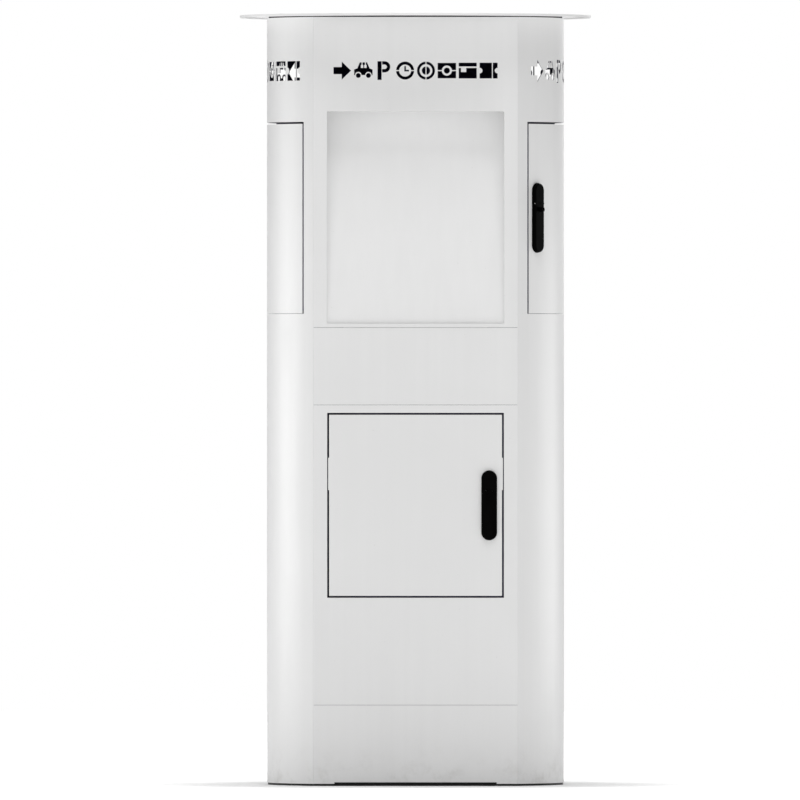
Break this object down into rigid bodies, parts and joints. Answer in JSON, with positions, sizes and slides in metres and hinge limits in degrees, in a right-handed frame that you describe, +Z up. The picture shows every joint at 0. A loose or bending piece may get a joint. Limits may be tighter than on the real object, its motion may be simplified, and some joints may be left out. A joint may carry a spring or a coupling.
{
  "type": "parking pay station housing",
  "caption": "Round floor-standing parking pay station cabinet with a flat front, tilted blank equipment fascia, disc roof and lockable service doors.",
  "frame": {"origin": "on the floor, under the centre of the round body and of the disc roof", "axes": "+Z up; the flat front with the window faces -Y; +X is to the right of someone facing the front"},
  "size_m": [0.8279, 0.828, 1.8155],
  "materials": {
    "light_coat": "fine-textured light grey powder coat",
    "dark_coat": "black powder coat",
    "zinc_sheet": "galvanised steel sheet",
    "zinc_steel": "zinc plated steel",
    "bright_steel": "stainless steel, turned",
    "rubber": "black closed-cell rubber",
    "gear_case": "grey enamelled case",
    "module_plastic": "light grey moulded plastic",
    "lock_case": "dark painted die casting",
    "black_coat": "black powder-coated die casting, satin"
  },
  "bodies": {
    "cabinet": {"base_plate": "dark_coat", "base_ring": "dark_coat", "cable_grommet": "rubber", "roof_cap": "light_coat", "roof_ring": "light_coat", "roof_seal": "rubber", "right_skin": "light_coat", "left_skin": "light_coat", "rear_cover": "light_coat", "rear_posts": "light_coat", "cover_screws": "bright_steel", "kick_panel": "light_coat", "door_surround": "light_coat", "blank_panel": "light_coat", "header_panel": "light_coat", "fascia_recess": "light_coat", "fascia_plate": "light_coat", "hinge_arms": "dark_coat", "hinge_pins": "bright_steel", "front_door_stops": "light_coat", "right_door_stops": "light_coat", "left_door_stops": "light_coat", "equipment_shelf": "zinc_sheet", "shelf_cleats": "zinc_sheet", "gear_plate": "zinc_sheet", "controller": "gear_case", "power_supply": "gear_case", "din_rail": "zinc_sheet", "breakers": "module_plastic"},
    "front_door": {"front_door_skin": "light_coat", "front_door_seal": "rubber", "front_door_hinge_brackets": "zinc_steel", "front_door_handle_dish": "black_coat", "front_door_lock_body": "lock_case", "front_door_lock_rail": "light_coat"},
    "front_door_handle": {"front_door_handle_hub": "black_coat", "front_door_cam": "zinc_steel", "front_door_lever_pin": "bright_steel"},
    "front_door_lever": {"front_door_lever": "black_coat"},
    "front_door_key": {"front_door_key_barrel": "black_coat"},
    "right_door": {"right_door_skin": "light_coat", "right_door_seal": "rubber", "right_door_hinge_brackets": "zinc_steel", "right_door_handle_dish": "black_coat", "right_door_lock_body": "lock_case"},
    "right_door_handle": {"right_door_handle_hub": "black_coat", "right_door_cam": "zinc_steel", "right_door_lever_pin": "bright_steel"},
    "right_door_lever": {"right_door_lever": "black_coat"},
    "right_door_key": {"right_door_key_barrel": "black_coat"},
    "left_door": {"left_door_skin": "light_coat", "left_door_seal": "rubber", "left_door_hinge_brackets": "zinc_steel", "left_door_handle_dish": "black_coat", "left_door_lock_body": "lock_case"},
    "left_door_handle": {"left_door_handle_hub": "black_coat", "left_door_cam": "zinc_steel", "left_door_lever_pin": "bright_steel"},
    "left_door_lever": {"left_door_lever": "black_coat"},
    "left_door_key": {"left_door_key_barrel": "black_coat"}
  },
  "joints": [
    {"name": "front_door_swing", "type": "hinge", "parent": "cabinet", "child": "front_door", "pos_m": [-0.1829, -0.24476, 0.65885], "axis": [0, 0, -1], "range_deg": [0, 95]},
    {"name": "front_door_handle_turn", "type": "hinge", "parent": "front_door", "child": "front_door_handle", "pos_m": [0.1729, -0.25476, 0.71285], "axis": [0, -1, 0], "range_deg": [0, 90]},
    {"name": "front_door_lever_pull", "type": "hinge", "parent": "front_door_handle", "child": "front_door_lever", "pos_m": [0.1729, -0.2614, 0.69285], "axis": [-1, 0, 0], "range_deg": [0, 35]},
    {"name": "front_door_key_turn", "type": "hinge", "parent": "front_door_lever", "child": "front_door_key", "pos_m": [0.1729, -0.2614, 0.67835], "axis": [0, -1, 0], "range_deg": [0, 90]},
    {"name": "right_door_swing", "type": "hinge", "parent": "cabinet", "child": "right_door", "pos_m": [0.27061, 0.20583, 1.334], "axis": [0, 0, 1], "range_deg": [0, 95]},
    {"name": "right_door_handle_turn", "type": "hinge", "parent": "right_door", "child": "right_door_handle", "pos_m": [0.28451, -0.20384, 1.388], "axis": [-0.8129, 0.5824, 0], "range_deg": [0, 90]},
    {"name": "right_door_lever_pull", "type": "hinge", "parent": "right_door_handle", "child": "right_door_lever", "pos_m": [0.28992, -0.20772, 1.368], "axis": [-0.5824, -0.8129, 0], "range_deg": [0, 35]},
    {"name": "right_door_key_turn", "type": "hinge", "parent": "right_door_lever", "child": "right_door_key", "pos_m": [0.28992, -0.20772, 1.3535], "axis": [0.8129, -0.5824, 0], "range_deg": [0, 90]},
    {"name": "left_door_swing", "type": "hinge", "parent": "cabinet", "child": "left_door", "pos_m": [-0.27061, -0.20583, 1.334], "axis": [0, 0, 1], "range_deg": [0, 95]},
    {"name": "left_door_handle_turn", "type": "hinge", "parent": "left_door", "child": "left_door_handle", "pos_m": [-0.28451, 0.20384, 1.388], "axis": [0.8129, -0.5824, 0], "range_deg": [0, 90]},
    {"name": "left_door_lever_pull", "type": "hinge", "parent": "left_door_handle", "child": "left_door_lever", "pos_m": [-0.28992, 0.20772, 1.368], "axis": [0.5824, 0.8129, 0], "range_deg": [0, 35]},
    {"name": "left_door_key_turn", "type": "hinge", "parent": "left_door_lever", "child": "left_door_key", "pos_m": [-0.28992, 0.20772, 1.3535], "axis": [-0.8129, 0.5824, 0], "range_deg": [0, 90]}
  ]
}
